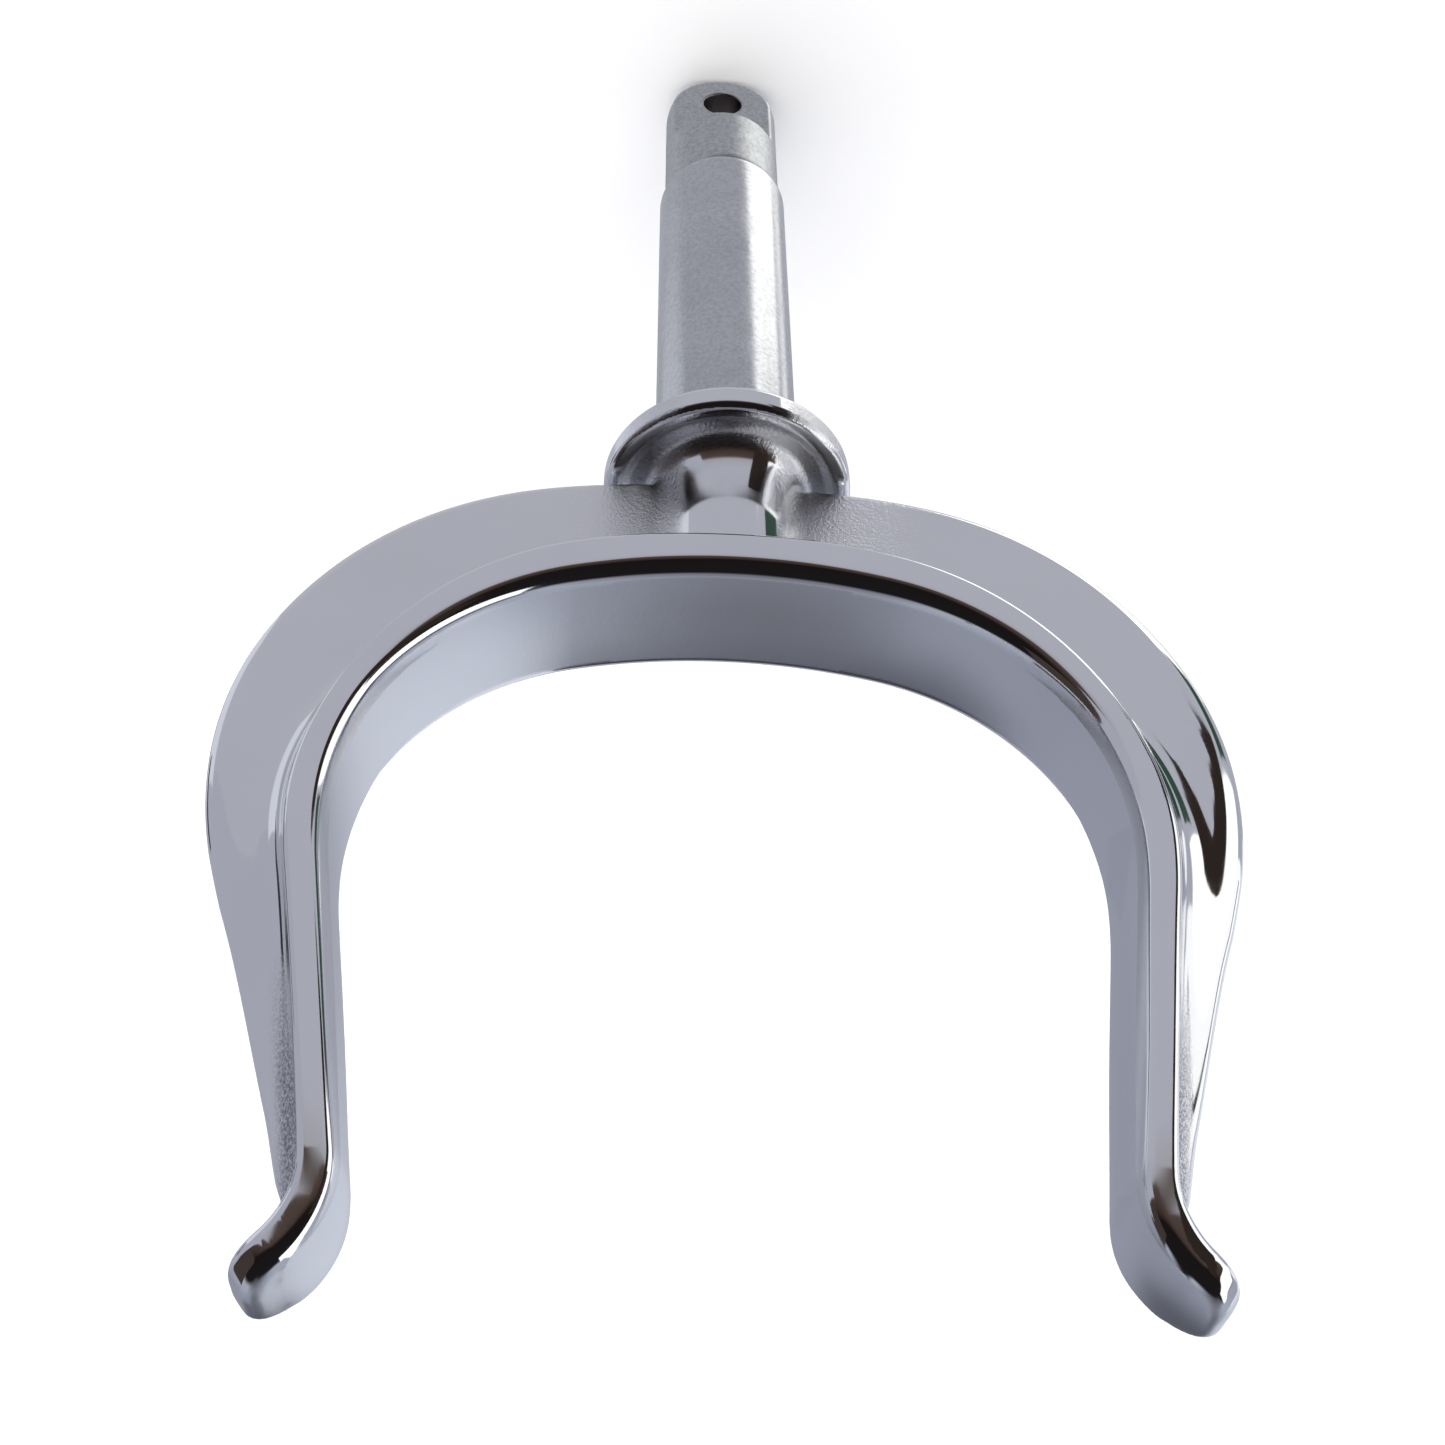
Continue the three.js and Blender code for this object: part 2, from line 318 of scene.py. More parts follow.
def web_field(distance, height, y):
    """The rib on the flange's outer side, drafted, with a crest that polishing has rounded off."""
    crest = smooth_size(WEB_HEIGHT, distance)
    depth = np.clip(crest * CREST_SHARE, LEAST_CREST_DEPTH, smooth_size(CREST_DEPTH, distance))
    across = np.minimum(smooth_size(CREST_ROUNDING, distance), depth)
    half = WEB_HALF_THICKNESS + WEB_DRAFT * (crest - height)
    side = np.maximum(np.abs(y) - (half - across), 0) / across
    rise = np.maximum(height - (crest - depth), 0) / depth
    rib = np.where(rise > 0, (np.hypot(side, rise) - 1) * across, np.abs(y) - half)
    return np.maximum(rib, WEB_FOOT - height)


def core_field(around, z):
    """Neck and collar: a slightly dished disc with a rounded rim, and a tall flare up to the neck."""
    side = np.abs(around - (COLLAR_RADIUS - RIM_WIDTH / 2)) - (RIM_WIDTH / 2 - COLLAR_EDGE)
    rise = np.abs(z - COLLAR_RIM / 2) - (COLLAR_RIM / 2 - COLLAR_EDGE)
    rim = np.hypot(np.maximum(side, 0), np.maximum(rise, 0)) + np.minimum(np.maximum(side, rise), 0)
    dish = np.maximum(around - (COLLAR_RADIUS - RIM_WIDTH / 2), z - COLLAR_DISH)
    collar = joined(rim - COLLAR_EDGE, dish, smooth_size(RIM_CREASE, z))
    out = np.maximum(1 - (around - NECK_RADIUS) / FLARE_REACH, 0)
    up = np.maximum(1 - (z - COLLAR_DISH) / FLARE_HEIGHT, 0)
    size = np.maximum(np.hypot(out, up), LEAST_SIZE)
    steep = np.hypot(out / FLARE_REACH, up / FLARE_HEIGHT) / size
    flare = (1 - size) / np.maximum(steep, 1 / FLARE_HEIGHT)
    reach = around - NECK_RADIUS - FLARE_REACH - FLARE_MARGIN
    flare = np.maximum(flare, np.maximum(reach, z - NECK_TOP))
    return np.maximum(np.minimum(collar, flare), -z)


def casting_field(x, y, z):
    """Cradle, webs, neck and collar as one casting with fillets."""
    distance, height, past = cradle_coordinates(x, z)
    flange = flange_field(distance, height, past, y)
    web = web_field(distance, height, y)
    rib = joined(web, core_field(np.hypot(x, y), z), smooth_size(CORE_FILLET, z))
    return joined(flange, rib, smooth_size(ROOT_FILLET, distance))


def eye_field(x, y, z):
    """The shank's turned-down end, milled flat on both sides, rounded and cross drilled."""
    around = np.hypot(x, y)
    crown = EYE_END + EYE_CROWN
    drop = np.maximum(crown - z, 0)
    reach = np.sqrt((around / EYE_RADIUS) ** 2 + (drop / EYE_CROWN) ** 2)
    blank = np.where(drop > 0, (reach - 1) * EYE_CROWN, around - EYE_RADIUS)
    blank = np.maximum(blank, z - (SHANK_END + EYE_OVERLAP))
    kept = joined(np.abs(y) - EYE_HALF_TANG, EYE_LEDGE - z, EYE_CORNER_RADIUS)
    tang = trimmed(blank, kept, EYE_EDGE_RADIUS)
    hole = EYE_HOLE_RADIUS - np.hypot(x, z - EYE_HOLE)
    return trimmed(tang, hole, EYE_HOLE_EDGE)


def step_up(low, high, value):
    """Smooth step: 0 at the first value, 1 at the second, which may be the smaller one."""
    t = np.clip((value - low) / (high - low), 0, 1)
    return t * t * (3 - 2 * t)


# ---- meshing ------------------------------------------------------------------------------------


def mirrored_grid(field, reach, bottom, top, pitch):
    """Samples a field that is the same on both sides of X and of Y on a whole grid."""
    x = np.arange(0, reach[0] + 3 * pitch, pitch)
    y = np.arange(0, reach[1] + 3 * pitch, pitch)
    z = np.arange(bottom - 3 * pitch, top + 3 * pitch, pitch)
    quarter = field(x[:, None, None], y[None, :, None], z[None, None, :])
    half = np.concatenate([quarter[:0:-1], quarter])
    whole = np.concatenate([half[:, :0:-1], half], axis=1)
    return whole, np.array([-x[-1], -y[-1], z[0]])


def surface_net(values, origin, pitch):
    """Vertices and quads of the zero surface: one vertex in each cell that the surface crosses."""
    cells = np.array(values.shape) - 1
    inside = values < 0
    owners, crossings, quads = [], [], []
    for axis in range(3):
        u, v = (axis + 1) % 3, (axis + 2) % 3
        near = np.take(inside, range(cells[axis]), axis)
        far = np.take(inside, range(1, cells[axis] + 1), axis)
        edge = np.argwhere(near != far)
        after = edge.copy()
        after[:, axis] += 1
        first = values[tuple(edge.T)]
        second = values[tuple(after.T)]
        point = edge.astype(float)
        point[:, axis] += first / (first - second)
        ring = []
        for step_u, step_v in ((0, 0), (-1, 0), (-1, -1), (0, -1)):
            cell = edge.copy()
            cell[:, u] += step_u
            cell[:, v] += step_v
            ring.append(np.ravel_multi_index(cell.T, cells))
            owners.append(ring[-1])
            crossings.append(point)
        quad = np.stack(ring, 1)
        inward = first >= 0
        quad[inward] = quad[inward][:, ::-1]
        quads.append(quad)
    owners = np.concatenate(owners)
    crossings = np.concatenate(crossings)
    ids, index = np.unique(owners, return_inverse=True)
    count = np.bincount(index)
    points = np.stack([np.bincount(index, crossings[:, k]) / count for k in range(3)], 1)
    quads = np.searchsorted(ids, np.concatenate(quads))
    return origin + points * pitch, quads


def gradient(field, points, reach=0.02):
    """A field's slope along X, Y and Z at each point."""
    slopes = []
    for axis in range(3):
        step = np.zeros(3)
        step[axis] = reach
        ahead = field(*(points + step).T)
        behind = field(*(points - step).T)
        slopes.append((ahead - behind) / (2 * reach))
    return np.stack(slopes, 1)


def settle(field, points, passes):
    """Moves points along the field's slope on to its zero surface."""
    for _ in range(passes):
        slope = gradient(field, points)
        steep = np.maximum((slope**2).sum(1), LEAST_STEEPNESS)
        points = points - slope * (field(*points.T) / steep)[:, None]
    return points


def relax(points, quads):
    """Moves each point towards the middle of its neighbours."""
    pairs = np.concatenate([quads[:, [k, (k + 1) % 4]] for k in range(4)])
    count = np.bincount(pairs[:, 0], minlength=len(points))
    total = [np.bincount(pairs[:, 0], points[pairs[:, 1], k], len(points)) for k in range(3)]
    return points * (1 - RELAXING) + np.stack(total, 1) / count[:, None] * RELAXING


def field_mesh(field, reach, bottom, top, pitch, rounds=4):
    """A field's surface as points and quads, evened out and settled in turns."""
    values, origin = mirrored_grid(field, reach, bottom, top, pitch)
    points, quads = surface_net(values, origin, pitch)
    points = settle(field, points, passes=2)
    for _ in range(rounds):
        points = settle(field, relax(points, quads), passes=1)
    points = settle(field, points, passes=2)
    return points, quads


def unit(vectors):
    """Vectors scaled to length 1."""
    return vectors / np.linalg.norm(vectors, axis=-1, keepdims=True)


def spread(line, weights, count):
    """Points at even steps of weight along a line, the weights being those of its segments."""
    along = np.concatenate([[0], np.cumsum(np.maximum(weights, LEAST_WEIGHT))])
    places = np.linspace(0, along[-1], count)
    return np.stack([np.interp(places, along, axis) for axis in line.T], 1)


def section_line(distance, half, shrink):
    """Half a section's straight-sided outline as fine points, from the bearing face to the crest."""
    thickness = float(smooth_size(FLANGE_THICKNESS, distance))
    crest = max(float(smooth_size(WEB_HEIGHT, distance)), thickness)
    web = min(WEB_HALF_THICKNESS, half)
    corners = [(0, 0), (half, BEARING_CROWN), (half, thickness), (web, thickness), (web, crest), (0, crest)]
    middle = np.array([0, thickness / 2])
    corners = middle + (np.array(corners) - middle) * (1 - shrink)
    line = spread(corners, np.linalg.norm(np.diff(corners, axis=0), axis=1), FINE_POINTS)
    foot, heading = cradle_frame(distance)
    across = foot[0] + line[:, 1] * math.sin(heading)
    return np.stack([across, line[:, 0], foot[1] - line[:, 1] * math.cos(heading)], 1)


def limb_rings():
    """Closed rings of points round the +X limb, from the crown to the middle of the horn's end."""
    end = CRADLE_LENGTH - HORN_END_RADIUS
    count = round((end - CROWN_END) / STATION_GAP)
    lines = []
    for distance in np.linspace(CROWN_END, end, count + 1):
        lines.append(section_line(distance, float(smooth_size(FLANGE_WIDTH, distance)) / 2, 0))
    for turn in np.linspace(0, math.pi / 2, END_STATIONS + 1)[1:]:
        distance = end + HORN_END_RADIUS * math.sin(turn)
        half = float(smooth_size(FLANGE_WIDTH, distance)) / 2
        lines.append(section_line(distance, half - HORN_END_RADIUS * (1 - math.cos(turn)), 0))
    for step in range(1, CAP_RINGS + 1):
        lines.append(section_line(CRADLE_LENGTH, half - HORN_END_RADIUS, step / (CAP_RINGS + 1)))
    fine = settle(casting_field, np.concatenate(lines), passes=8)
    slopes = unit(gradient(casting_field, fine)).reshape(-1, FINE_POINTS, 3)
    fine = fine.reshape(-1, FINE_POINTS, 3)
    halves = []
    for line, normals in zip(fine, slopes):
        steps = np.linalg.norm(np.diff(line, axis=0), axis=1)
        turns = np.arccos(np.clip((normals[1:] * normals[:-1]).sum(1), -1, 1))
        halves.append(spread(line, steps + TURN_WEIGHT * turns, SECTION_POINTS))
    halves = settle(casting_field, np.concatenate(halves), passes=3).reshape(-1, SECTION_POINTS, 3)
    return np.concatenate([halves, halves[:, -2:0:-1] * (1, -1, 1)], axis=1)


def limb_mesh():
    """The +X limb's vertices, normals and faces, with a short skirt that runs under the crown's edge."""
    rings = limb_rings()
    normals = unit(gradient(casting_field, rings.reshape(-1, 3))).reshape(rings.shape)
    heading = cradle_frame(CROWN_END)[1]
    back = np.array([math.cos(heading), 0, math.sin(heading)]) * SKIRT_LENGTH
    rings = np.concatenate([[rings[0] - normals[0] * SKIRT_DEPTH - back], rings])
    normals = np.concatenate([[normals[0]], normals])
    middle = settle(casting_field, rings[-1].mean(0, keepdims=True), passes=3)
    points = np.concatenate([rings.reshape(-1, 3), middle])
    normals = np.concatenate([normals.reshape(-1, 3), unit(gradient(casting_field, middle))])
    around = rings.shape[1]
    first = np.arange((len(rings) - 1) * around).reshape(-1, around)
    after = np.roll(first, -1, axis=1)
    quads = np.stack([first, first + around, after + around, after], -1).reshape(-1, 4)
    last = first[-1] + around
    fan = np.stack([last, np.full(around, len(points) - 1), np.roll(last, -1)], -1)
    return points, normals, quads.tolist() + fan.tolist()


def crown_mesh():
    """The crown's vertices, normals and faces, cut straight across both limbs."""

    def kept(x, y, z):
        return np.maximum(casting_field(x, y, z), np.abs(x) - CROWN_CUT)

    foot, heading = cradle_frame(CROWN_END)
    ahead = np.array([math.cos(heading), math.sin(heading)])

    def past_cut(points):
        return (np.abs(points[:, 0]) - foot[0]) * ahead[0] + (points[:, 2] - foot[1]) * ahead[1]

    top = cradle_frame(CROWN_CUT)[0][1] + CROWN_HEADROOM
    reach = (CROWN_CUT, collar_high[1])
    points, quads = field_mesh(kept, reach, collar_low[2], top, CROWN_PITCH)
    quads = quads[(past_cut(points)[quads] < 0).any(1)]
    used, corners = np.unique(quads, return_inverse=True)
    points, quads = points[used], corners.reshape(-1, 4)

    def pulled_to_cut(points):
        over = np.maximum(past_cut(points), 0)
        return points - np.stack([over * ahead[0] * np.sign(points[:, 0]), 0 * over, over * ahead[1]], 1)

    points = settle(casting_field, pulled_to_cut(points), passes=2)
    points = pulled_to_cut(points)
    return points, unit(gradient(casting_field, points)), quads


def make_piece(name, points, faces, normals=None):
    """A smooth-shaded mesh object from points in millimetres."""
    mesh = bpy.data.meshes.new(name)
    mesh.from_pydata((points * MM).tolist(), [], faces)
    mesh.polygons.foreach_set("use_smooth", [True] * len(mesh.polygons))
    if normals is not None:
        mesh.normals_split_custom_set_from_vertices(normals.tolist())
    piece = bpy.data.objects.new(name, mesh)
    bpy.context.scene.collection.objects.link(piece)
    return piece


def store(piece, name, values):
    """Keeps one number for each vertex, for the material to read."""
    layer = piece.data.attributes.new(name, "FLOAT", "POINT")
    layer.data.foreach_set("value", np.asarray(values, np.float32))


# ---- pieces -------------------------------------------------------------------------------------


def casting_piece(name, points, faces, normals):
    """One part of the casting, with the masks that its material reads."""
    piece = make_piece(name, points, faces, normals)
    x, y, z = points.T
    distance, height, past = cradle_coordinates(x, z)
    thickness = smooth_size(FLANGE_THICKNESS, distance)
    half = smooth_size(FLANGE_WIDTH, distance) / 2
    above = height - thickness
    around = np.hypot(x, y)

    # satin: the bearing face inside the cradle, up to its rounded edges, and the horn's nose
    rim = np.maximum(np.abs(y) - half, distance + past - CRADLE_LENGTH)
    rim = rim + smooth_size(INNER_EDGE_RADIUS, distance)
    bearing = step_up(*SATIN_RIM, rim) * step_up(*SATIN_HEIGHT, height)
    nose = step_up(*NOSE_DISTANCE, distance + past) * step_up(*NOSE_HALF_WIDTH, np.abs(y))
    store(piece, "satin", np.maximum(bearing, nose))

    # grain: fine grain on the webs beside the neck and on the collar's dished face
    root = step_up(*ROOT_REACH, around) * step_up(*ROOT_SIDE, np.abs(x))
    root = root * step_up(*ROOT_FACING, np.abs(normals[:, 1])) * step_up(*ROOT_BOTTOM, above)
    dish = step_up(*DISH_REACH, around) * step_up(*DISH_FACING, normals[:, 2]) * step_up(*DISH_TOP, z)
    store(piece, "grain", np.clip(root + dish * DISH_GRAIN, 0, 1))

    # skin: pitted cast skin left in the corner between web and flange, by the horns
    skin = step_up(*SKIN_TOP, above) * step_up(*SKIN_EDGE, half - np.abs(y))
    skin = skin * step_up(*SKIN_BOTTOM, height / thickness) * step_up(*SKIN_DISTANCE, distance)
    store(piece, "skin", skin)
    return piece


def build_casting():
    """The casting in three parts: its crown and its two limbs."""
    points, normals, quads = crown_mesh()
    crown = casting_piece("crown", points, quads.tolist(), normals)
    points, normals, faces = limb_mesh()
    right_limb = casting_piece("right_limb", points, faces, normals)
    flipped = [face[::-1] for face in faces]
    left_limb = casting_piece("left_limb", points * (-1, 1, 1), flipped, normals * (-1, 1, 1))
    return crown, left_limb, right_limb


def turned_piece(name, rows, sides):
    """A turned solid from (radius, z) rows, the first and last of them on the axis."""
    angles = np.linspace(0, 2 * math.pi, sides, endpoint=False)
    rings = [(radius, level) for radius, level in rows if radius > 0]
    points = [(0, 0, rows[0][1]), (0, 0, rows[-1][1])]
    for radius, level in rings:
        points += [(radius * math.cos(a), radius * math.sin(a), level) for a in angles]
    last = 2 + (len(rings) - 1) * sides
    faces = []
    for k in range(sides):
        after = (k + 1) % sides
        faces.append((0, 2 + k, 2 + after))
        faces.append((1, last + after, last + k))
        for ring in range(len(rings) - 1):
            a = 2 + ring * sides
            b = a + sides
            faces.append((a + k, b + k, b + after, a + after))
    return make_piece(name, np.array(points), faces)


def build_shank():
    """The pin: let into the collar, a small fillet under the seat, and a rounded edge at its lower end."""
    rows = [
        (0.0, SHANK_TOP),
        (SHANK_RADIUS * INNER_RING, SHANK_TOP),
        (SHANK_RADIUS, SHANK_TOP),
        (SHANK_RADIUS, SHANK_TOP / 2),
        (SHANK_RADIUS + SHANK_FILLET, SEAT_OVERLAP),
    ]
    turns = [math.pi / 2 * step / ARC_STEPS for step in range(ARC_STEPS + 1)]
    for turn in turns[1:]:
        radius = SHANK_RADIUS + SHANK_FILLET * (1 - math.sin(turn))
        rows.append((radius, -SHANK_FILLET * (1 - math.cos(turn))))
    body_top = -SHANK_FILLET - 2 * ROW_GAP
    body = np.linspace(body_top, SHANK_END + SHANK_CHAMFER + ROW_GAP, SHANK_ROWS)
    rows += [(SHANK_RADIUS, level) for level in body]
    for turn in turns:
        radius = SHANK_RADIUS - SHANK_CHAMFER * (1 - math.cos(turn))
        rows.append((radius, SHANK_END + SHANK_CHAMFER * (1 - math.sin(turn))))
    rows += [(EYE_RADIUS * INNER_RING, SHANK_END), (0.0, SHANK_END)]
    return turned_piece("shank_pin", rows, SHANK_SIDES)


def build_eye():
    """The drilled eye, with masks for its milled flats, for painted shade in its bore, and for a painted
    shadow and dark reflection under the shank's end.
    """
    reach = (EYE_RADIUS, EYE_RADIUS)
    points, quads = field_mesh(eye_field, reach, EYE_END, SHANK_END + EYE_OVERLAP, EYE_PITCH)
    piece = make_piece("eye", points, quads.tolist(), unit(gradient(eye_field, points)))
    x, y, z = points.T
    flat = step_up(*MILLED_SIDE, np.abs(y) - EYE_HALF_TANG) * step_up(*MILLED_TOP, z - EYE_LEDGE)
    store(piece, "milled", flat)
    # painted shade: the bore's wall and a thin ring round its mouth are darkened, as shade inside the hole
    store(piece, "bore", step_up(*BORE_REACH, np.hypot(x, z - EYE_HOLE) - EYE_HOLE_RADIUS))
    # painted shade: a dark band under the shank's end, fading out towards +X, standing in for shadow and a
    # dark reflection
    store(piece, "shoulder_shade", step_up(*SHADE_RISE, z - SHANK_END) * step_up(*SHADE_SIDE, x))
    return piece


# ---- materials ----------------------------------------------------------------------------------


class Shader:
    """A node material with one Principled surface and short calls for its nodes."""

    def __init__(self, name, metallic):
        self.material = bpy.data.materials.new(name)
        self.material.use_nodes = True
        self.tree = self.material.node_tree
        self.surface = self.tree.nodes["Principled BSDF"]
        self.surface.inputs["Metallic"].default_value = metallic
        self.place = self.tree.nodes.new("ShaderNodeTexCoord").outputs["Object"]

    def feed(self, socket, value):
        """Links a socket to an input, or sets the input to a plain value."""
        if isinstance(value, bpy.types.NodeSocket):
            self.tree.links.new(value, socket)
        else:
            socket.default_value = value

    def attribute(self, name):
        """One of the numbers stored with the vertices."""
        node = self.tree.nodes.new("ShaderNodeAttribute")
        node.attribute_name = name
        return node.outputs["Fac"]

    def stretched(self, scale):
        """The object's coordinates in metres, scaled along each axis."""
        node = self.tree.nodes.new("ShaderNodeMapping")
        node.inputs["Scale"].default_value = scale
        self.feed(node.inputs["Vector"], self.place)
        return node.outputs["Vector"]

    def noise(self, scale, detail=2.0, roughness=0.5, vector=None):
        """Cloudy noise, its scale in cells a metre."""
        node = self.tree.nodes.new("ShaderNodeTexNoise")
        node.inputs["Scale"].default_value = scale
        node.inputs["Detail"].default_value = detail
        node.inputs["Roughness"].default_value = roughness
        self.feed(node.inputs["Vector"], vector or self.place)
        return node.outputs["Fac"]

    def math(self, operation, a, b=0.0):
        """One sum with two values."""
        node = self.tree.nodes.new("ShaderNodeMath")
        node.operation = operation
        self.feed(node.inputs[0], a)
        self.feed(node.inputs[1], b)
        return node.outputs[0]

    def ranged(self, value, low, high, from_low=0.0, from_high=1.0):
        """A value carried from one range to another, and held at its ends."""
        node = self.tree.nodes.new("ShaderNodeMapRange")
        self.feed(node.inputs["Value"], value)
        node.inputs["From Min"].default_value = from_low
        node.inputs["From Max"].default_value = from_high
        self.feed(node.inputs["To Min"], low)
        self.feed(node.inputs["To Max"], high)
        return node.outputs["Result"]

    def blend(self, factor, a, b):
        """A mix of two colours."""
        node = self.tree.nodes.new("ShaderNodeMix")
        node.data_type = "RGBA"
        self.feed(node.inputs["Factor"], factor)
        self.feed(node.inputs["A"], a)
        self.feed(node.inputs["B"], b)
        return node.outputs["Result"]

    def bump(self, height, distance, strength=1.0, normal=None):
        """A normal tilted by a height, on top of another normal where one is given."""
        node = self.tree.nodes.new("ShaderNodeBump")
        node.inputs["Distance"].default_value = distance
        self.feed(node.inputs["Strength"], strength)
        self.feed(node.inputs["Height"], height)
        if normal:
            self.feed(node.inputs["Normal"], normal)
        return node.outputs["Normal"]


def polished_casting():
    """Mirror polish, satin where the oar lies, fine grain beside the neck, pitted skin by the horns."""
    shader = Shader("polished_casting", 1.0)
    satin = shader.attribute("satin")
    grain = shader.attribute("grain")
    skin = shader.attribute("skin")
    pebble = shader.noise(3600, 3, 0.6)
    pitting = shader.noise(4600, 3, 0.7)
    cloud = shader.noise(90, 3)
    tone = shader.blend(cloud, (0.75, 0.75, 0.77, 1), (0.80, 0.80, 0.82, 1))
    tone = shader.blend(satin, tone, (0.70, 0.71, 0.75, 1))
    pits = shader.math("MULTIPLY", skin, shader.ranged(pitting, 1, 0, 0.40, 0.62))
    tone = shader.blend(pits, tone, (0.22, 0.22, 0.27, 1))
    smudge = shader.ranged(shader.noise(260, 4, 0.6), 0.05, 0.11, 0.35, 0.7)
    rough = shader.ranged(satin, smudge, 0.40)
    rough = shader.ranged(grain, rough, 0.36)
    rough = shader.ranged(skin, rough, 0.22)
    speckle = shader.noise(2600, 3, 0.6)
    wave = shader.noise(110, 1)
    normal = shader.bump(wave, 0.00006, 1.0)
    normal = shader.bump(speckle, 0.00002, shader.math("MULTIPLY", satin, 0.5), normal)
    normal = shader.bump(pebble, 0.00009, shader.math("ADD", grain, skin), normal)
    shader.feed(shader.surface.inputs["Base Color"], tone)
    shader.feed(shader.surface.inputs["Roughness"], rough)
    shader.feed(shader.surface.inputs["Normal"], normal)
    return shader.material


def satin_shank():
    """Turned and linished: fine rings round the pin, cloudy wear along it."""
    shader = Shader("satin_shank", 1.0)
    rings = shader.noise(1.0, 2, 0.5, shader.stretched((40, 40, 2200)))
    cloud = shader.noise(140, 4, 0.6)
    tone = shader.blend(cloud, (0.50, 0.51, 0.52, 1), (0.70, 0.70, 0.73, 1))
    fleck = shader.ranged(shader.noise(2600, 3, 0.7), 0, 0.6, 0.4, 0.65)
    tone = shader.blend(fleck, tone, (0.42, 0.42, 0.44, 1))
    rough = shader.ranged(cloud, 0.15, 0.27, 0.3, 0.7)
    normal = shader.bump(rings, 0.000006, 0.6)
    normal = shader.bump(shader.noise(1300, 2, 0.5), 0.000012, 0.7, normal)
    shader.feed(shader.surface.inputs["Base Color"], tone)
    shader.feed(shader.surface.inputs["Roughness"], rough)
    shader.feed(shader.surface.inputs["Normal"], normal)
    return shader.material


def milled_eye():
    """Dull turned end with milling marks on its flats, painted shade in its bore and a painted shadow under
    the shank's end.
    """
    shader = Shader("milled_eye", 1.0)
    milled = shader.attribute("milled")
    bore = shader.attribute("bore")
    marks = shader.noise(1.0, 2, 0.5, shader.stretched((200, 200, 2200)))
    cloud = shader.noise(240, 4, 0.65)
    tone = shader.blend(cloud, (0.50, 0.52, 0.53, 1), (0.66, 0.67, 0.68, 1))
    fleck = shader.ranged(shader.noise(2400, 3, 0.7), 0, 0.7, 0.4, 0.65)
    tone = shader.blend(fleck, tone, (0.36, 0.37, 0.38, 1))
    # painted shadow and painted dark reflection under the shank's shoulder, darker on the -X side
    tone = shader.blend(shader.attribute("shoulder_shade"), tone, (0.16, 0.15, 0.15, 1))
    # painted shade inside the bore
    tone = shader.blend(bore, tone, (0.32, 0.29, 0.28, 1))
    rough = shader.ranged(cloud, 0.30, 0.44, 0.3, 0.7)
    normal = shader.bump(marks, 0.00001, shader.ranged(milled, 0.3, 0.8))
    normal = shader.bump(shader.noise(1500, 2, 0.5), 0.00002, 0.6, normal)
    shader.feed(shader.surface.inputs["Base Color"], tone)
    shader.feed(shader.surface.inputs["Roughness"], rough)
    shader.feed(shader.surface.inputs["Normal"], normal)
    return shader.material


def pale_floor():
    """Matt off-white."""
    shader = Shader("pale_floor", 0.0)
    cloud = shader.noise(3, 2)
    tone = shader.blend(cloud, (0.93, 0.92, 0.91, 1), (0.94, 0.93, 0.92, 1))
    shader.feed(shader.surface.inputs["Base Color"], tone)
    shader.surface.inputs["Roughness"].default_value = 0.9
    shader.surface.inputs["Specular IOR Level"].default_value = 0.0
    return shader.material


# ---- the object ---------------------------------------------------------------------------------

crown, left_limb, right_limb = build_casting()
cast_metal = polished_casting()
for piece, nodes, slot, material in (
    (crown, ["cradle_arch", "neck", "collar"], "polished_metal", cast_metal),
    (left_limb, ["left_arm", "left_horn", "left_web"], "polished_metal", cast_metal),
    (right_limb, ["right_arm", "right_horn", "right_web"], "polished_metal", cast_metal),
    (build_shank(), ["shank"], "satin_metal", satin_shank()),
    (build_eye(), ["retaining_eye"], "satin_metal", milled_eye()),
):
    piece.data.materials.append(material)
    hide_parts(*nodes)
    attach(piece, "root")

# ---- studio -------------------------------------------------------------------------------------


def panel(name, centre, size, target):
    """A flat rectangle that faces a point."""
    mesh = bpy.data.meshes.new(name)
    w, h = size[0] / 2, size[1] / 2
    mesh.from_pydata([(-w, -h, 0), (w, -h, 0), (w, h, 0), (-w, h, 0)], [], [(0, 1, 2, 3)])
    item = bpy.data.objects.new(name, mesh)
    item.location = centre
    item.rotation_euler = (Vector(target) - Vector(centre)).to_track_quat("Z", "Y").to_euler()
    bpy.context.scene.collection.objects.link(item)
    return item


def card(name, azimuth, elevation, width, height, colour, distance=1.5):
    """A glowing or dark card round the object that only its reflections see.

    Azimuth 0 is the -Y side and 90 the +X side. Width and height are in degrees as the object sees them.
    """
    turn, tilt = math.radians(azimuth), math.radians(elevation)
    way = Vector((math.sin(turn) * math.cos(tilt), -math.cos(turn) * math.cos(tilt), math.sin(tilt)))
    size = [2 * distance * math.tan(math.radians(angle) / 2) for angle in (width, height)]
    item = panel(name, MIDDLE + way * distance, size, MIDDLE)
    shader = Shader(name, 0.0)
    shader.surface.inputs["Base Color"].default_value = (0, 0, 0, 1)
    shader.surface.inputs["Specular IOR Level"].default_value = 0.0
    shader.surface.inputs["Emission Color"].default_value = (*colour, 1)
    shader.surface.inputs["Emission Strength"].default_value = 1.0
    item.data.materials.append(shader.material)
    item.visible_camera = False
    item.visible_diffuse = False
    item.visible_shadow = False
    return item


MIDDLE = Vector((0.0, 0.0, 0.02))
FLOOR_SIDE = 30.0
CEILING_ENERGY = 3.4
CEILING_SPREAD = 70.0
CEILING_TILT = (12.0, 8.0, 0.0)

floor = panel("floor", (0, 0, cad_box[0][2]), (FLOOR_SIDE, FLOOR_SIDE), (0, 0, 1))
floor.data.materials.append(pale_floor())
floor.visible_glossy = False

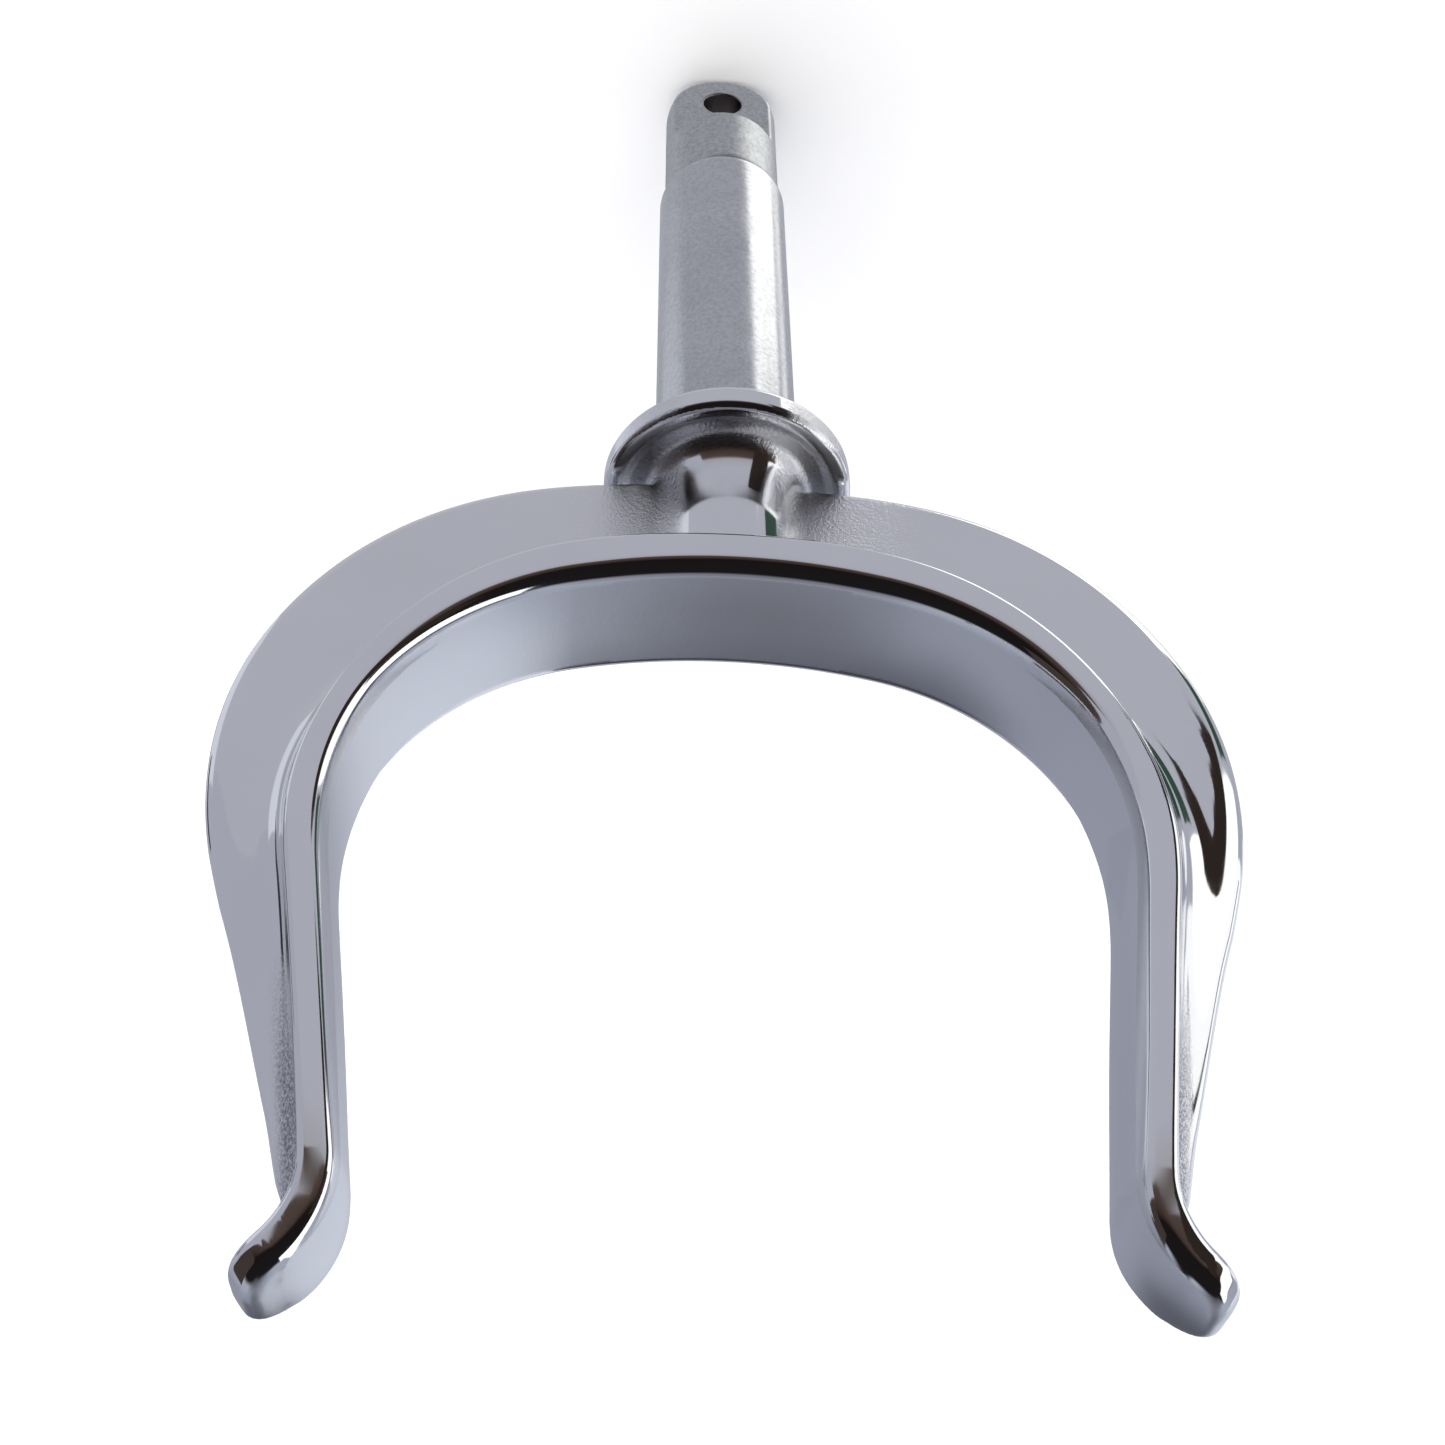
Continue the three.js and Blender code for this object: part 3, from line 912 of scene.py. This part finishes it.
# Name, azimuth, elevation, width, height, glow, distance in metres.
card("window", -76, 14, 26, 74, (1.5, 1.53, 1.55), 1.7)
card("window_low", -66, -22, 40, 26, (1.35, 1.36, 1.36), 1.75)
card("window_side", -99, -17, 28, 13, (1.25, 1.26, 1.26), 1.7)
card("window_bar", -99.5, -16, 3.4, 9, (0.04, 0.04, 0.045), 1.6)
card("window_spill", -72, -61, 30, 22, (2.0, 2.0, 1.97), 1.4)
card("window_spill_far", -113, -54, 9, 20, (1.4, 1.4, 1.4), 1.4)
card("hedge", -79, -45, 18, 16, (0.04, 0.08, 0.06), 1.5)
card("door", -43, -11, 22, 58, (0.03, 0.022, 0.018), 1.55)
card("left_wall", 77, -17, 76, 26, (0.455, 0.47, 0.54), 1.7)
card("left_dark", 82, 13, 54, 26, (0.06, 0.045, 0.04), 1.65)
card("post", 112, -27, 9, 14, (0.03, 0.03, 0.035), 1.5)
card("left_glow", 104, -42, 36, 26, (0.74, 0.77, 0.84), 1.5)
card("bright_wall", -145, 2, 56, 66, (0.85, 0.89, 0.97), 1.6)
card("rear_low", 176, 17, 54, 34, (0.06, 0.06, 0.075), 1.62)
card("rear_high", 182, 50, 24, 22, (0.05, 0.042, 0.035), 1.55)
card("rear_left", 158, -30, 36, 26, (0.42, 0.44, 0.52), 1.5)

sun = bpy.data.objects.new("ceiling", bpy.data.lights.new("ceiling", "SUN"))
sun.data.energy = CEILING_ENERGY
sun.data.angle = math.radians(CEILING_SPREAD)
sun.rotation_euler = [math.radians(tilt) for tilt in CEILING_TILT]
sun.visible_glossy = False
bpy.context.scene.collection.objects.link(sun)

# The surroundings' glow by height, as (Z of the direction, colour): behind the object, and on the
# viewer's side. Between the two Y values the one gives way to the other.
BEHIND = [
    (-1.0, (0.60, 0.60, 0.64)),
    (-0.80, (0.50, 0.51, 0.57)),
    (-0.55, (0.46, 0.47, 0.54)),
    (-0.20, (0.42, 0.43, 0.50)),
    (0.05, (0.40, 0.42, 0.49)),
    (0.40, (0.44, 0.47, 0.56)),
    (0.85, (0.44, 0.47, 0.55)),
    (1.0, (0.20, 0.20, 0.24)),
]
AHEAD = [
    (-1.0, (0.60, 0.60, 0.64)),
    (-0.80, (0.50, 0.51, 0.57)),
    (-0.40, (0.49, 0.50, 0.57)),
    (-0.23, (0.42, 0.42, 0.45)),
    (-0.18, (0.09, 0.065, 0.055)),
    (0.0, (0.06, 0.040, 0.034)),
    (0.15, (0.012, 0.009, 0.009)),
    (1.0, (0.012, 0.011, 0.012)),
]
FRONT_EDGE = (0.10, -0.15)
BACKDROP = (0.95, 0.95, 0.955)


def ramp_node(nodes, stops):
    """A colour ramp from (Z, colour) stops, its factor being Z moved from -1..1 to 0..1."""
    ramp = nodes.new("ShaderNodeValToRGB")
    while len(ramp.color_ramp.elements) < len(stops):
        ramp.color_ramp.elements.new(0.5)
    for element, (height, colour) in zip(ramp.color_ramp.elements, stops):
        element.position = (height + 1) / 2
        element.color = (*colour, 1)
    return ramp


def build_surroundings():
    """A light floor and rear, dark above and behind the viewer, and a plain backdrop for the view."""
    world = bpy.data.worlds.new("studio")
    bpy.context.scene.world = world
    world.use_nodes = True
    nodes, links = world.node_tree.nodes, world.node_tree.links
    direction = nodes.new("ShaderNodeTexCoord")
    axes = nodes.new("ShaderNodeSeparateXYZ")
    links.new(direction.outputs["Generated"], axes.inputs[0])
    level = nodes.new("ShaderNodeMapRange")
    level.inputs["From Min"].default_value = -1
    links.new(axes.outputs["Z"], level.inputs["Value"])
    front = nodes.new("ShaderNodeMapRange")
    front.interpolation_type = "SMOOTHSTEP"
    front.inputs["From Min"].default_value, front.inputs["From Max"].default_value = FRONT_EDGE
    links.new(axes.outputs["Y"], front.inputs["Value"])
    both = nodes.new("ShaderNodeMix")
    both.data_type = "RGBA"
    links.new(front.outputs["Result"], both.inputs["Factor"])
    for stops, side in ((BEHIND, "A"), (AHEAD, "B")):
        ramp = ramp_node(nodes, stops)
        links.new(level.outputs["Result"], ramp.inputs["Fac"])
        links.new(ramp.outputs["Color"], both.inputs[side])
    choice = nodes.new("ShaderNodeMix")
    choice.data_type = "RGBA"
    links.new(nodes.new("ShaderNodeLightPath").outputs["Is Camera Ray"], choice.inputs["Factor"])
    links.new(both.outputs["Result"], choice.inputs["A"])
    choice.inputs["B"].default_value = (*BACKDROP, 1)
    links.new(choice.outputs["Result"], nodes["Background"].inputs["Color"])


build_surroundings()

bpy.context.scene.view_settings.view_transform = "Standard"

# ---- camera -------------------------------------------------------------------------------------

SENSOR = 36.0
FOCAL_WIDTHS = 1.2488
SHIFT = (0.0021, 0.0115)
CLIP_START = 0.005
CAMERA_PLACE = Vector((0.00945, -0.10725, 0.11956))
CAMERA_AHEAD = Vector((-0.0610, 0.7654, -0.6407))
CAMERA_RIGHT = Vector((-0.9974, -0.0718, 0.0092))

camera = bpy.data.objects.new("camera", bpy.data.cameras.new("camera"))
bpy.context.scene.collection.objects.link(camera)
camera.data.sensor_width = SENSOR
camera.data.lens = SENSOR * FOCAL_WIDTHS
camera.data.shift_x, camera.data.shift_y = SHIFT
camera.data.clip_start = CLIP_START
up = CAMERA_RIGHT.cross(CAMERA_AHEAD).normalized()
right = CAMERA_AHEAD.cross(up).normalized()
turn = Matrix((right, up, -CAMERA_AHEAD.normalized())).transposed()
camera.matrix_world = Matrix.Translation(CAMERA_PLACE) @ turn.to_4x4()
bpy.context.scene.camera = camera
